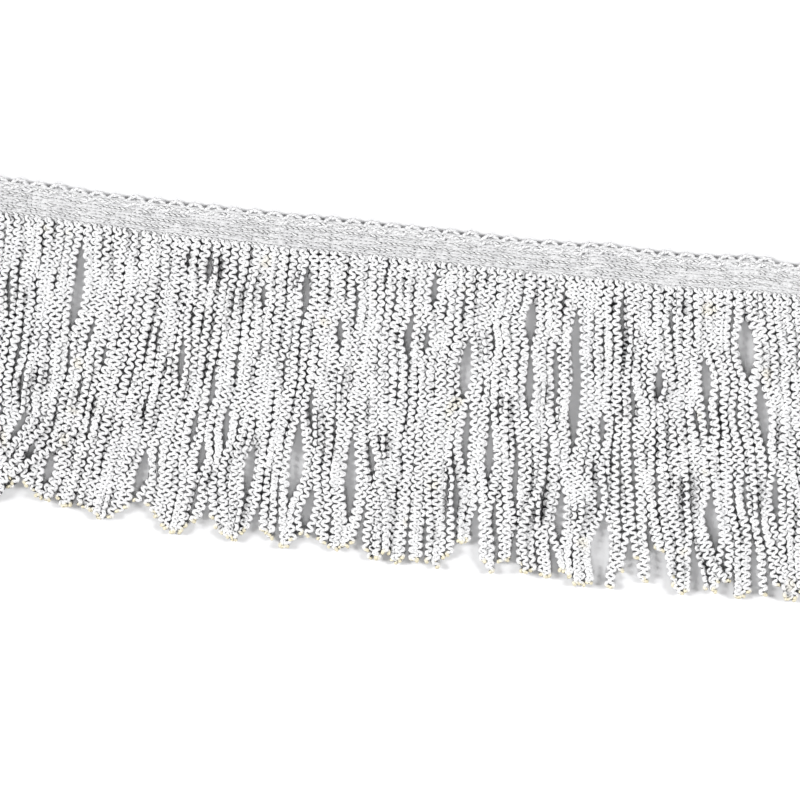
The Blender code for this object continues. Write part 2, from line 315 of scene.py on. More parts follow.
def scallop_lift(along, rise, flat=SCALLOP_FLAT):
    """How far the scalloped edge stands over the hollows' line."""
    share = ((along + LEFT_OF_MARK) / SCALLOP_PITCH) % 1.0
    inside = min(max((share - flat) / (1.0 - 2.0 * flat), 0.0), 1.0)
    return rise * math.sin(math.pi * inside)


def hollow_line(along):
    """The depth of the line that the scallops' hollows touch."""
    return read(EDGES, along, "upper") + SCALLOP_RISE


# %% Place a point
CREST_SHARES = (0.4, 0.6)
HEADING_LOW, HEADING_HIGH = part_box("heading")
crests = [(cell + share) * SCALLOP_PITCH - LEFT_OF_MARK for cell in range(SCALLOPS) for share in CREST_SHARES]
MARK_X = HEADING_LOW.x + LEFT_OF_MARK * MM
LINE_Y = HEADING_HIGH.y + min(hollow_line(along) - scallop_lift(along, SCALLOP_RISE) for along in crests) * MM


def place(along, depth, height):
    """A point of the scene, in metres, from the trim's own places."""
    return Vector((MARK_X + along * MM, LINE_Y - depth * MM, height * MM))


print("mark at x = %.2f mm, line at y = %.2f mm" % (MARK_X / MM, LINE_Y / MM))


# %% [markdown]
# ## How the strands lie
#
# Each strand starts at its root, then leans and wanders on its way down. A gap pushes the strands beside
# it apart, most at the gap's middle and less further away, and near the tips the strands draw together
# in bunches. Strands of one layer don't pass through each other, so at each depth they are kept in
# order, with a least room for each. Only the strays are moved out of that order, on top of the rest.

# %% The lay at one depth
CLEARANCE = 0.3
STRIP_DEPTH = 1.3
DEEPEST = 104.0
STRAND_WIDTH = 1.8
YARN_REACH = 1.45
GAP_REACH = 7.5
GAP_ROUNDNESS = 0.6
ROOT_ROUNDS = 8
Opening = namedtuple("Opening", "middle drift half clear reach")


def lean_at(root, depth):
    """How far a strand has moved to the right at a depth, by its lean alone."""
    top = read(EDGES, root, "lower") + CLEARANCE + STRIP_DEPTH
    share = max(depth - top, 0.0) / (DEEPEST - top)
    return read(LEANS, root, "tips") * share ** read(LEANS, root, "bend")


def root_under(along, depth):
    """The root whose strand, by its lean alone, passes a place."""
    root = along
    for _ in range(ROOT_ROUNDS):
        root = along - lean_at(root, depth)
    return root


def open_gaps(depth):
    """The gaps that are open at a depth, placed among the roots."""
    found = []
    for gap, reach in [(gap, GAP_REACH) for gap in GAPS] + [(gap, FINE_REACH) for gap in FINE_GAPS]:
        if gap.top < depth < gap.bottom:
            share = (depth - gap.top) / (gap.bottom - gap.top)
            middle = root_under(0.5 * (gap.along + gap.end_along), 0.5 * (gap.top + gap.bottom))
            drift = root_under(gap.along + (gap.end_along - gap.along) * share, depth) - middle
            open_share = math.sin(math.pi * share) ** GAP_ROUNDNESS
            half = 0.5 * (gap.width + 0.5 * STRAND_WIDTH) * open_share
            clear = (0.5 * gap.width + YARN_REACH) * open_share
            found.append(Opening(middle, drift, half, clear, reach))
    return found


def pushed(root, openings):
    """How far the open gaps push a strand sideways."""
    push = 0.0
    for opening in openings:
        away = abs(root - opening.middle)
        fading = math.exp(-away / opening.reach)
        apart = max(opening.half * fading, opening.clear - away)
        push += opening.drift * fading + (apart if root > opening.middle else -apart)
    return push


# %% Draw tips into bunches and keep strands in order
BUNCH_DEPTH = 97.0
BUNCH_LENGTH = 20.0
BUNCH_END = 3.0
BUNCH_DRAW = 0.42
BUNCH_DRAW_MOST = 1.7


def drawn_in(along):
    """How far a strand's tip is drawn sideways towards the middle of its bunch."""
    for bunch in BUNCHES:
        if along <= bunch.notch_along:
            break
    return min(max((bunch.along - along) * BUNCH_DRAW, -BUNCH_DRAW_MOST), BUNCH_DRAW_MOST)


def kept_apart(places, least):
    """The nearest places in the same order that lie at least so far apart."""
    runs = []
    for number, value in enumerate(places):
        runs.append((value - number * least, 1))
        while len(runs) > 1 and runs[-2][0] > runs[-1][0]:
            late, late_count = runs.pop()
            early, early_count = runs.pop()
            count = early_count + late_count
            runs.append(((early * early_count + late * late_count) / count, count))
    spread = [value for value, count in runs for _ in range(count)]
    return [value + number * least for number, value in enumerate(spread)]


# %% Chance along a strand
Layer = namedtuple("Layer", "name first_root seed lift rise")
LAYERS = [
    Layer("fringe_under", 0.25, 3.7, 0.0, 0.9),
    Layer("fringe_over", 0.60, 11.3, 1.0, -0.7),
]
Drift = namedtuple("Drift", "mean spread unlike length seed")
WANDERING = Drift(0.0, 0.75, 0.9, 21.0, 0.0)
SHAKING = Drift(0.0, 1.1, 2.3, 9.0, 20.0)


def drifting(kind, number, way, layer):
    """A value that changes by chance down a strand, over a length, and from strand to strand."""
    return kind.mean + kind.spread * chance(number * kind.unlike, way / kind.length, layer.seed + kind.seed)


# %% Follow every strand from root to tip
GROWN_BEFORE = 3.0
GROWN_AFTER = 6.0
STRAND_ROOM = 1.8
TIP_CROWDING = 0.5
TIP_VARIATION = 1.8
TIP_UNLIKE = 1.7
TIP_ROW = -4
LEAST_END = 0.3
ROOT_OVERLAP = 0.7
LEVEL_STEP = 1.5
SMOOTHING = (1, 2, 3, 2, 1)


def softened(values):
    """The values with sharp bends along a strand taken out."""
    reach = len(SMOOTHING) // 2
    result = []
    for number in range(len(values)):
        total = weight_sum = 0.0
        for offset, weight in enumerate(SMOOTHING, start=-reach):
            if 0 <= number + offset < len(values):
                total += weight * values[number + offset]
                weight_sum += weight
        result.append(total / weight_sum)
    return result


def stray_at(layer, root):
    """The row of the strays' table for a strand of the upper layer, if it has one."""
    for stray in STRAYS:
        if layer.name == "fringe_over" and abs(root - stray.root) < 0.5 * STRAND_PITCH:
            return stray
    return None


def strand_levels(layer, roots, depths):
    """Where along the trim each strand of a layer lies, for each depth."""
    openings = open_gaps(BUNCH_DEPTH)
    draws = [drawn_in(root + lean_at(root, BUNCH_DEPTH) + pushed(root, openings)) for root in roots]
    levels = []
    for depth in depths:
        openings = open_gaps(depth)
        near_tips = blend(BUNCH_DEPTH - BUNCH_LENGTH, BUNCH_DEPTH + BUNCH_END, depth)
        grown = blend(depths[0] - GROWN_BEFORE, depths[0] + GROWN_AFTER, depth)
        level = []
        for number, root in enumerate(roots):
            off_line = pushed(root, openings) + drifting(WANDERING, number, depth, layer)
            off_line += drifting(SHAKING, number, depth, layer)
            level.append(root + lean_at(root, depth) + off_line * grown + draws[number] * near_tips)
        levels.append(kept_apart(level, STRAND_ROOM - TIP_CROWDING * near_tips))
    return levels


def cut_at(line, tip):
    """The part of a line above a depth, ending at that depth."""
    kept = [spot for spot in line if spot[1] < tip - LEAST_END]
    after = line[len(kept)] if len(kept) < len(line) else line[-1]
    last = kept[-1]
    share = (tip - last[1]) / max(after[1] - last[1], 1e-6)
    return kept + [(last[0] + (after[0] - last[0]) * share, tip)]


def strand_lines(layer):
    """Each strand's middle line, as a list of (along, depth) from root to tip."""
    count = SCALLOPS * STRANDS_TO_A_SCALLOP
    roots = [(number + layer.first_root) * STRAND_PITCH - LEFT_OF_MARK for number in range(count)]
    tops = [read(EDGES, root, "lower") for root in roots]
    first = max(tops) + CLEARANCE + STRIP_DEPTH
    depths = [first + level * LEVEL_STEP for level in range(int((DEEPEST - first) / LEVEL_STEP) + 1)]
    levels = strand_levels(layer, roots, depths)
    lines = []
    for number, root in enumerate(roots):
        alongs = softened([root] + [level[number] for level in levels])[1:]
        stray = stray_at(layer, root)
        if stray:
            moves = [stray.sideways * blend(stray.start, stray.end, depth) for depth in depths]
            alongs = [along + move for along, move in zip(alongs, moves)]
        tip = read(TIPS, alongs[TIP_ROW], "depth")
        tip -= TIP_VARIATION * abs(chance(number * TIP_UNLIKE, 0.5, layer.seed))
        lines.append(cut_at([(root, tops[number] - ROOT_OVERLAP)] + list(zip(alongs, depths)), tip))
    return lines


LINES = {layer.name: strand_lines(layer) for layer in LAYERS}
print({name: len(lines) for name, lines in LINES.items()}, "strands")


# %% [markdown]
# ## Writing node networks as sums
#
# A node network is easier to read as a formula. This small class holds one socket, and the usual signs
# add Math nodes. Every other node is made by one method, which sets the node's options first and then
# fills or links its sockets. It serves materials and Geometry Nodes alike.

# %% A socket that can be added and multiplied
class Wire:
    """One output socket of a node tree."""

    def __init__(self, graph, socket):
        self.graph = graph
        self.socket = socket

    def math(self, operation, *others):
        """The result of a Math node on this socket and others."""
        return self.graph.add("ShaderNodeMath", {"operation": operation}, dict(enumerate((self, *others))))[0]

    def __add__(self, other):
        return self.math("ADD", other)

    def __sub__(self, other):
        return self.math("SUBTRACT", other)

    def __rsub__(self, other):
        return (self * -1.0) + other

    def __mul__(self, other):
        return self.math("MULTIPLY", other)

    def __truediv__(self, other):
        return self.math("DIVIDE", other)

    __radd__ = __add__
    __rmul__ = __mul__

    def sine(self):
        """The sine of this value."""
        return self.math("SINE")

    def cosine(self):
        """The cosine of this value."""
        return self.math("COSINE")

    def ramp(self, low, high):
        """0 at low, 1 at high, smooth between them and flat beyond."""
        settings = {"interpolation_type": "SMOOTHSTEP", "clamp": True}
        sockets = {"Value": self, "From Min": low, "From Max": high, "To Min": 0.0, "To Max": 1.0}
        return self.graph.add("ShaderNodeMapRange", settings, sockets)[0]


# %% A tree that nodes are added to
class Outputs:
    """A node and its outputs, found by number or by name."""

    def __init__(self, graph, node):
        self.graph = graph
        self.node = node

    def __getitem__(self, key):
        return Wire(self.graph, self.node.outputs[key])


class Graph:
    """Adds nodes to one node tree."""

    def __init__(self, tree):
        self.tree = tree

    def feed(self, wire, node, key):
        """Links a wire to a socket of a node."""
        self.tree.links.new(wire.socket, node.inputs[key])

    def add(self, kind, settings=None, sockets=None):
        """A new node's outputs, after its options are set and its sockets filled or linked."""
        node = self.tree.nodes.new(kind)
        for name, value in (settings or {}).items():
            setattr(node, name, value)
        for key, value in (sockets or {}).items():
            if isinstance(value, Wire):
                self.feed(value, node, key)
            elif value is not None:
                node.inputs[key].default_value = value
        return Outputs(self, node)

    def scaled(self, vector, factor):
        """A vector times a number."""
        return self.add("ShaderNodeVectorMath", {"operation": "SCALE"}, {0: vector, "Scale": factor})[0]

    def summed(self, first, second):
        """Two vectors added."""
        return self.add("ShaderNodeVectorMath", {"operation": "ADD"}, {0: first, 1: second})[0]

    def mixed(self, share, first, second):
        """A colour between two colours."""
        settings = {"data_type": "RGBA", "clamp_factor": True}
        return self.add("ShaderNodeMix", settings, {"Factor": share, 6: first, 7: second})[2]

    def cloud(self, spot, scale, detail):
        """Soft cloudy values from 0 to 1."""
        return self.add("ShaderNodeTexNoise", None, {"Vector": spot, "Scale": scale, "Detail": detail})[0]

    def attribute(self, name):
        """A number that the piece's surface carries, read in a material."""
        return self.add("ShaderNodeAttribute", {"attribute_name": name})["Fac"]


# %% [markdown]
# ## One yarn, hundreds of times
#
# The strands are polyester yarn that was knitted, set with heat and unravelled, so it keeps a wave like
# a row of small hooks. A guide line with a few values at each point says where a yarn runs and how its
# wave stands there. Geometry Nodes then bend the line into the wave and put the yarn's thickness on it,
# which is less work than modelling a yarn and copying it, and lets each strand have its own wave.
#
# Each point of a guide carries `phase`, how far the wave has turned, `swing`, how wide it swings,
# `turn`, how far its plane leans from lying flat, and `tone`, a chance shade. The nodes also store on
# the surface where along and round the yarn each point lies, how far it faces up, and how much yarn
# hides it. That last value comes from short rays shot sideways from the surface.

# %% Parts that every tree uses
def new_tree(name, inputs):
    """An empty Geometry Nodes tree with its named inputs, and the wires of those inputs."""
    tree = bpy.data.node_groups.new(name, "GeometryNodeTree")
    tree.interface.new_socket("Geometry", in_out="INPUT", socket_type="NodeSocketGeometry")
    for title, kind in inputs.items():
        tree.interface.new_socket(title, in_out="INPUT", socket_type="NodeSocket" + kind)
    tree.interface.new_socket("Geometry", in_out="OUTPUT", socket_type="NodeSocketGeometry")
    graph = Graph(tree)
    return graph, graph.add("NodeGroupInput")


def stored(graph, geometry, name, value, kind="FLOAT", domain="POINT"):
    """The geometry with a value kept on its points under a name."""
    sockets = {"Geometry": geometry, "Name": name, "Value": value}
    return graph.add("GeometryNodeStoreNamedAttribute", {"data_type": kind, "domain": domain}, sockets)[0]


def carried(graph, name):
    """A value that the guide line's points carry."""
    return graph.add("GeometryNodeInputNamedAttribute", {"data_type": "FLOAT"}, {"Name": name})[0]


def line_points(graph, geometry, length):
    """The guide's lines as curves, with a point at each step of a length."""
    lines = graph.add("GeometryNodeMeshToCurve", None, {0: geometry})[0]
    sockets = {"Curve": lines, "Length": length}
    return graph.add("GeometryNodeResampleCurve", {"mode": "LENGTH"}, sockets)[0]


def finished(graph, geometry, material):
    """Ends a tree: real mesh, smooth shading and the material."""
    real = graph.add("GeometryNodeRealizeInstances", None, {"Geometry": geometry})[0]
    smooth = graph.add("GeometryNodeSetShadeSmooth", None, {"Geometry": real, "Shade Smooth": True})[0]
    dressed = graph.add("GeometryNodeSetMaterial", None, {"Geometry": smooth, "Material": material})[0]
    graph.add("NodeGroupOutput", None, {"Geometry": dressed})


# %% The yarn maker's node tree
UP = (0.0, 0.0, 1.0)
THINNEST = 0.88
UNEVENNESS = 0.24
UNEVENNESS_SCALE = 420.0
CUT_RADIUS = 0.45
CUT_START = -0.25
RAY_REACH = 2.6
RAY_START = 0.04
SIDE_RAYS = [
    (1.0, 0.0, 0.5),
    (-1.0, 0.0, 0.5),
    (0.6, 0.8, 0.5),
    (-0.6, 0.8, 0.5),
    (0.6, -0.8, 0.5),
    (-0.6, -0.8, 0.5),
]


def waved(graph, lines, overhang):
    """The guide lines bent into the wave that their points carry."""
    tangent = graph.add("GeometryNodeInputTangent")[0]
    across = graph.add("ShaderNodeVectorMath", {"operation": "CROSS_PRODUCT"}, {0: tangent, 1: UP})[0]
    across = graph.add("ShaderNodeVectorMath", {"operation": "NORMALIZE"}, {0: across})[0]
    phase, swing, turn = (carried(graph, name) for name in ("phase", "swing", "turn"))
    wave = phase.sine() * swing
    sideways = graph.scaled(across, wave * turn.cosine())
    upwards = graph.scaled(UP, wave * turn.sine())
    back = graph.scaled(tangent, (phase * 2.0).sine() * overhang * -1.0)
    offset = graph.summed(graph.summed(sideways, upwards), back)
    return graph.add("GeometryNodeSetPosition", None, {"Geometry": lines, "Offset": offset})[0]


def tube_round(graph, lines, given):
    """A closed tube round the lines, thinner at its cut ends."""
    length_here = graph.add("GeometryNodeSplineParameter")["Length"]
    whole = graph.add("GeometryNodeSplineLength")[0]
    lines = stored(graph, lines, "along", length_here / MM)
    lines = stored(graph, lines, "to_tip", (whole - length_here) / MM)
    uneven = graph.cloud(graph.add("GeometryNodeInputPosition")[0], UNEVENNESS_SCALE, 1.0)
    rounding = carried(graph, "to_tip").ramp(CUT_START, given["Cut end"])
    radius = given["Thickness"] * 0.5 * (THINNEST + UNEVENNESS * uneven)
    radius = radius * (CUT_RADIUS + (1.0 - CUT_RADIUS) * rounding)
    lines = graph.add("GeometryNodeSetCurveRadius", None, {"Curve": lines, "Radius": radius})[0]
    ring = {"Resolution": given["Sides"], "Radius": 1.0}
    ring = graph.add("GeometryNodeCurvePrimitiveCircle", None, ring)[0]
    ring = stored(graph, ring, "section", graph.add("GeometryNodeInputPosition")[0], "FLOAT_VECTOR")
    tube = {"Curve": lines, "Profile Curve": ring, "Fill Caps": True}
    tube["Scale"] = graph.add("GeometryNodeInputRadius")[0]
    return graph.add("GeometryNodeCurveToMesh", None, tube)[0]


def nearness(graph, skin, normal):
    """How much of the low sky round a spot is taken by yarn, from 0 to 1."""
    start = graph.add("GeometryNodeInputPosition")[0]
    start = graph.summed(start, graph.scaled(normal, RAY_START * MM))
    total = 0.0
    for direction in SIDE_RAYS:
        ray = {"Target Geometry": skin, "Source Position": start, "Ray Direction": direction}
        hit = graph.add("GeometryNodeRaycast", None, {**ray, "Ray Length": RAY_REACH * MM})
        total = hit["Is Hit"] * (1.0 - hit["Hit Distance"] / (RAY_REACH * MM)) + total
    return total / len(SIDE_RAYS)


def yarn_tree():
    """Bends guide lines into waves and gives them a round yarn's thickness."""
    graph, given = new_tree("crimped_yarn", {
        "Step": "Float",
        "Thickness": "Float",
        "Overhang": "Float",
        "Sides": "Int",
        "Cut end": "Float",
        "Neighbour": "Object",
        "Material": "Material",
    })
    lines = waved(graph, line_points(graph, given["Geometry"], given["Step"]), given["Overhang"])
    tube = tube_round(graph, lines, given)
    normal = graph.add("GeometryNodeInputNormal")[0]
    upright = graph.add("ShaderNodeSeparateXYZ", None, {0: normal})["Z"]
    beside = graph.add("GeometryNodeObjectInfo", None, {"Object": given["Neighbour"]})["Geometry"]
    joined = graph.add("GeometryNodeJoinGeometry")
    graph.feed(tube, joined.node, 0)
    graph.feed(beside, joined.node, 0)
    skin = stored(graph, tube, "facing", upright)
    skin = stored(graph, skin, "hidden", nearness(graph, joined[0], normal))
    finished(graph, skin, given["Material"])
    return graph.tree


YARN_TREE = yarn_tree()
print("yarn tree:", len(YARN_TREE.nodes), "nodes")


# %% Lay guide lines and turn them into yarns
GuidePoint = namedtuple("GuidePoint", "spot phase swing turn tone")
ATTRIBUTES = ("phase", "swing", "turn", "tone")


def straight(spot, tone):
    """A guide point of a yarn without a wave."""
    return GuidePoint(spot, 0.0, 0.0, 0.0, tone)


def added(name, mesh):
    """A new object of the scene, at its origin."""
    made = bpy.data.objects.new(name, mesh)
    bpy.context.scene.collection.objects.link(made)
    return made


def guide_object(name, lines):
    """An object of open lines whose points carry the wave's values."""
    mesh = bpy.data.meshes.new(name)
    points = [point for line in lines for point in line]
    edges = []
    first = 0
    for line in lines:
        edges += [(first + number, first + number + 1) for number in range(len(line) - 1)]
        first += len(line)
    mesh.from_pydata([point.spot for point in points], edges, [])
    for attribute in ATTRIBUTES:
        layer = mesh.attributes.new(attribute, "FLOAT", "POINT")
        layer.data.foreach_set("value", [getattr(point, attribute) for point in points])
    return added(name, mesh)


def run_tree(guide, tree, values, name):
    """The plain mesh object that a tree makes of a guide, which is then removed."""
    modifier = guide.modifiers.new("maker", "NODES")
    modifier.node_group = tree
    for item in tree.interface.items_tree:
        if item.in_out == "INPUT" and values.get(item.name) is not None:
            modifier[item.identifier] = values[item.name]
    seen = guide.evaluated_get(bpy.context.evaluated_depsgraph_get())
    mesh = bpy.data.meshes.new_from_object(seen)
    guide.modifiers.remove(modifier)
    bpy.data.objects.remove(guide, do_unlink=True)
    mesh.name = name
    print("%s: %d triangles" % (name, sum(len(face.vertices) - 2 for face in mesh.polygons)))
    return added(name, mesh)


def yarns(name, lines, material, thickness, step, sides, overhang=0.0, cut_end=0.3, neighbour=None):
    """A piece made of yarns along guide lines, sizes in millimetres."""
    values = {
        "Step": step * MM,
        "Thickness": thickness * MM,
        "Overhang": overhang * MM,
        "Sides": sides,
        "Cut end": cut_end,
        "Neighbour": neighbour,
        "Material": material,
    }
    return run_tree(guide_object(name + "_lines", lines), YARN_TREE, values, name)


# %% [markdown]
# ## The finish of the yarns
#
# White polyester is bright and a little silky. Close up, a yarn shows the slant of its twist and the
# fine filaments in it, so both go into the bump, and they follow the yarn by the values stored on its
# surface. The cut tips have yellowed a little, so the last two millimetres or so turn to cream. Deep
# between the yarns the real fringe is almost black with shade. Lamps and shadows alone didn't give that,
# so painted shade darkens the colour at the sides of a yarn and where others hide it, less on its crown,
# and a little in the grooves of its twist.

# %% Make a yarn finish
# The first five values shape painted shade: on a yarn's sides, where other yarns hide it, less on its crown,
# and in the grooves of its twist.
SIDE_RANGE = (0.2, 0.74)
HIDDEN_RANGE = (0.30, 0.41)
CROWN_RANGE = (0.6, 0.95)
CROWN_LIGHT = 0.7
GROOVE_SHADE = 0.24
CREAM = (0.86, 0.79, 0.58, 1.0)
CREAM_RANGE = (1.2, 3.0)
SPOT_RANGE = (0.70, 0.78)
SPOT_CREAM = 0.35
TWIST_BUMP = 0.18


def new_finish(name):
    """A new material, the graph of its nodes and its shader."""
    material = bpy.data.materials.new(name)
    material.use_nodes = True
    return material, Graph(material.node_tree), material.node_tree.nodes["Principled BSDF"]


def opaque(colour):
    """A colour with its fourth number."""
    return (*colour, 1.0)


def twist_marks(graph, twist, filaments):
    """The slant of a yarn's twist and its filaments, each from -1 in a groove to 1 on top."""
    along = graph.attribute("along")
    section = graph.add("ShaderNodeAttribute", {"attribute_name": "section"})["Vector"]
    parts = graph.add("ShaderNodeSeparateXYZ", None, {0: section})
    angle = parts["Y"].math("ARCTAN2", parts["X"])
    ply = (angle * 2.0 + along * (2.0 * math.pi / twist)).sine()
    fine = (angle * 7.0 + along * (2.0 * math.pi / filaments)).sine()
    return ply, fine


def yarn_finish(name, light, shade, shadow_colour, roughness, cream, side_shade, crevice_shade, twist=1.1, filaments=0.45):
    """A yarn's material: its white, its twist, its yellowed tips, and painted shade in its grooves, on its
    sides and where other yarns hide it.
    """
    material, graph, shader = new_finish(name)
    spot = graph.add("ShaderNodeTexCoord")["Object"]
    cloud = graph.cloud(spot, 160.0, 3.0)
    patch = graph.cloud(spot, 95.0, 1.0)
    shaded = cloud.ramp(0.35, 0.75) * 0.6 + graph.attribute("tone") * 0.4
    colour = graph.mixed(shaded, opaque(light), opaque(shade))
    yellow = (1.0 - (graph.attribute("to_tip") + cloud * 1.6).ramp(*CREAM_RANGE)) * cream
    yellow = yellow + patch.ramp(*SPOT_RANGE) * SPOT_CREAM * cream
    colour = graph.mixed(yellow, colour, CREAM)
    ply, fine = twist_marks(graph, twist, filaments)
    # Painted shade: the colour darkens towards the dark colour in the grooves of the twist.
    groove = (ply + fine * 0.5 + cloud * 0.8).ramp(-0.9, 0.1)
    colour = graph.mixed((1.0 - groove) * GROOVE_SHADE, colour, opaque(shadow_colour))
    # Painted shade: the colour darkens towards the dark colour on the yarn's sides and where other yarns hide
    # it, less on its crown.
    facing = graph.attribute("facing")
    side = 1.0 - (facing + (cloud - 0.5) * 0.2).ramp(*SIDE_RANGE)
    below_crown = 1.0 - facing.ramp(*CROWN_RANGE) * CROWN_LIGHT
    crevice = graph.attribute("hidden").ramp(*HIDDEN_RANGE) * below_crown * crevice_shade
    colour = graph.mixed((side * side_shade).math("MAXIMUM", crevice), colour, opaque(shadow_colour))
    graph.feed(colour, shader, "Base Color")
    graph.feed(roughness + (cloud - 0.5) * 0.2, shader, "Roughness")
    bump = {"Height": ply * 0.5 + fine * 0.2, "Strength": 0.8, "Distance": TWIST_BUMP * MM}
    graph.feed(graph.add("ShaderNodeBump", None, bump)["Normal"], shader, "Normal")
    shader.inputs["Sheen Weight"].default_value = 0.05
    shader.inputs["Sheen Roughness"].default_value = 0.4
    shader.inputs["Specular IOR Level"].default_value = 0.28
    return material


# %% The finish of each yarn
# In every finish the dark colour is painted shade, in the grooves of the twist, on the yarns' sides and where
# yarn hides yarn.
FRINGE_FINISH = yarn_finish(
    "fringe_yarn", light=(0.92, 0.92, 0.925), shade=(0.85, 0.85, 0.86), shadow_colour=(0.025, 0.025, 0.03),
    roughness=0.52, cream=1.0, side_shade=0.3, crevice_shade=1.0,
)
# The heading's crossing yarn is the strands' own white yarn; its grey is painted shade, since it shows mostly
# in the holes under the strands and stitches.
KNIT_FINISH = yarn_finish(
    "heading_yarn", light=(0.62, 0.62, 0.63), shade=(0.54, 0.54, 0.55), shadow_colour=(0.40, 0.40, 0.41),
    roughness=0.58, cream=0.0, side_shade=0.6, crevice_shade=0.3,
)
CHAIN_FINISH = yarn_finish(
    "chain_thread", light=(0.78, 0.78, 0.785), shade=(0.69, 0.69, 0.70), shadow_colour=(0.55, 0.55, 0.56),
    roughness=0.5, cream=0.0, side_shade=0.35, crevice_shade=0.0, twist=2.2, filaments=1.4,
)
SPECK_FINISH = yarn_finish(
    "speck_thread", light=(0.95, 0.95, 0.95), shade=(0.90, 0.90, 0.91), shadow_colour=(0.32, 0.32, 0.33),
    roughness=0.4, cream=0.0, side_shade=0.9, crevice_shade=0.0, twist=0.5, filaments=0.25,
)
EDGE_FINISH = yarn_finish(
    "edge_cord", light=(0.89, 0.89, 0.895), shade=(0.80, 0.80, 0.81), shadow_colour=(0.26, 0.26, 0.27),
    roughness=0.5, cream=0.0, side_shade=0.6, crevice_shade=0.2,
)
print("finishes:", [each.name for each in (FRINGE_FINISH, KNIT_FINISH, CHAIN_FINISH, EDGE_FINISH)])

# %% [markdown]
# ## The strands
#
# A strand is one yarn, about 1.3 mm thick, whose wave is about two and a half millimetres long. Most
# waves lie flat, because the trim was pressed down, but here and there the plane of a wave stands up
# and the strand looks narrower. Neighbours were knitted side by side, so their waves start almost in
# step and drift apart further down. The upper layer is made first, so that painted shade can darken
# the lower one where the upper one hides it. Each layer is two pieces, because one mesh would be too
# heavy to handle.

# %% Give each strand its wave
YARN_THICKNESS = 1.32
YARN_SIDES = 6
WAVE_LENGTH = 2.45
WAVE_SWING = 0.78
WAVE_OVERHANG = 0.13
STEPS_TO_A_WAVE = 8
OWN_LENGTH = 0.06
OWN_STEP = 0.9
STEP_SPREAD = 2.5
START_RANGE = (-0.6, 0.6)
STANDING = math.radians(50.0)
STANDING_RANGE = (0.44, 0.68)
FLAT_TURN = 0.35
FLOOR_ROOM = 0.08
LOFT_HEIGHT = 0.2
ROOT_HEIGHT = 0.35
ROOT_LAYER = 0.3
PRESSED_RANGE = (80.0, 100.0)
PRESSED = 0.5
STRAY_LIFT = 0.8
STRAY_BEFORE = 3.0
STRAY_AFTER = 5.0
LEANING = Drift(0.0, 1.0, 1.9, 16.0, 5.0)
SIZE = Drift(0.95, 0.45, 1.3, 9.0, 8.0)
LOFT = Drift(0.5, 0.5, 0.8, 13.0, 3.0)
RISING = Drift(0.5, 1.1, 1.7, 11.0, 13.0)
UNEVEN = Drift(0.0, 2.0, 2.7, 6.5, 17.0)


def turn_of(leaning):
    """How far a wave's plane leans from lying flat, for a chance value."""
    return math.copysign(blend(*STANDING_RANGE, abs(leaning)) * STANDING, leaning) + FLAT_TURN * leaning


def strand_lift(layer, rising, start, depth, stray):
    """How high a strand lies over the floor or over the layer below, lower towards the tips."""
    lift = layer.lift * start + min(max(rising, 0.0), 1.0) * layer.rise
    lift *= 1.0 - PRESSED * blend(*PRESSED_RANGE, depth)
    if stray:
        lift += STRAY_LIFT * blend(stray.start - STRAY_BEFORE, stray.start + STRAY_AFTER, depth)
    return lift


def strand_guide(number, line, layer):
    """The guide points of one strand."""
    own = chance(number * 3.1, 7.7, layer.seed)
    wave_length = WAVE_LENGTH * (1.0 + OWN_LENGTH * own)
    in_step = STEP_SPREAD * chance(number * 0.23, 2.2, layer.seed) + OWN_STEP * own
    tone = chance_share(number * 2.3, 9.1, layer.seed)
    stray = stray_at(layer, line[0][0])
    guide = []
    travelled = 0.0
    before = line[0]
    for spot in line:
        travelled += math.hypot(spot[0] - before[0], spot[1] - before[1])
        before = spot
        leaning, size, loft, rising, uneven = (
            drifting(kind, number, travelled, layer) for kind in (LEANING, SIZE, LOFT, RISING, UNEVEN)
        )
        start = blend(*START_RANGE, travelled)
        turn = turn_of(leaning)
        swing = WAVE_SWING * size * start
        height = 0.5 * YARN_THICKNESS + swing * abs(math.sin(turn))
        height += strand_lift(layer, rising, start, spot[1], stray)
        height += FLOOR_ROOM + LOFT_HEIGHT * loft + (1.0 - start) * (ROOT_HEIGHT + ROOT_LAYER * layer.lift)
        phase = 2.0 * math.pi * travelled / wave_length + in_step + uneven
        guide.append(GuidePoint(place(spot[0], spot[1], height), phase, swing * MM, turn, tone))
    return guide


# %% Make both layers
PIECES_TO_A_LAYER = 2
above = {}
for layer in reversed(LAYERS):
    guides = [strand_guide(number, line, layer) for number, line in enumerate(LINES[layer.name])]
    share = math.ceil(len(guides) / PIECES_TO_A_LAYER)
    for part in range(PIECES_TO_A_LAYER):
        piece = yarns(
            "%s_strands_%d" % (layer.name, part + 1), guides[part * share:(part + 1) * share],
            FRINGE_FINISH, YARN_THICKNESS, WAVE_LENGTH / STEPS_TO_A_WAVE, YARN_SIDES,
            overhang=WAVE_OVERHANG, neighbour=above.get(part),
        )
        above[part] = piece
        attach(piece, "root")
        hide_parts(layer.name)

# %% [markdown]
# ## The heading
#
# On a fringe knitting machine the same yarn goes to and fro across the heading, once for each strand,
# and rows of fine chain stitch hold it. So the heading is dense crimped yarn lying across, crossed by
# five raised rows of small stitches. A thin ground closes what little shows between the yarns. One
# bumpy sheet would be quicker, but its stitches would look painted on from the side.

# %% The ground of the heading
HUMP_FLAT = 0.10
GROUND_COLUMNS = 8
GROUND_ROWS = 6
GROUND_LOW = 0.35
GROUND_HIGH = 0.85
GROUND_RISE = 1.15
GROUND_INSET = 0.05


def row_depth(along, share):
    """The depth of a row of the heading, from 0 at the hollows to 1 at the lower edge."""
    top = hollow_line(along)
    return top + (read(EDGES, along, "lower") - top) * share


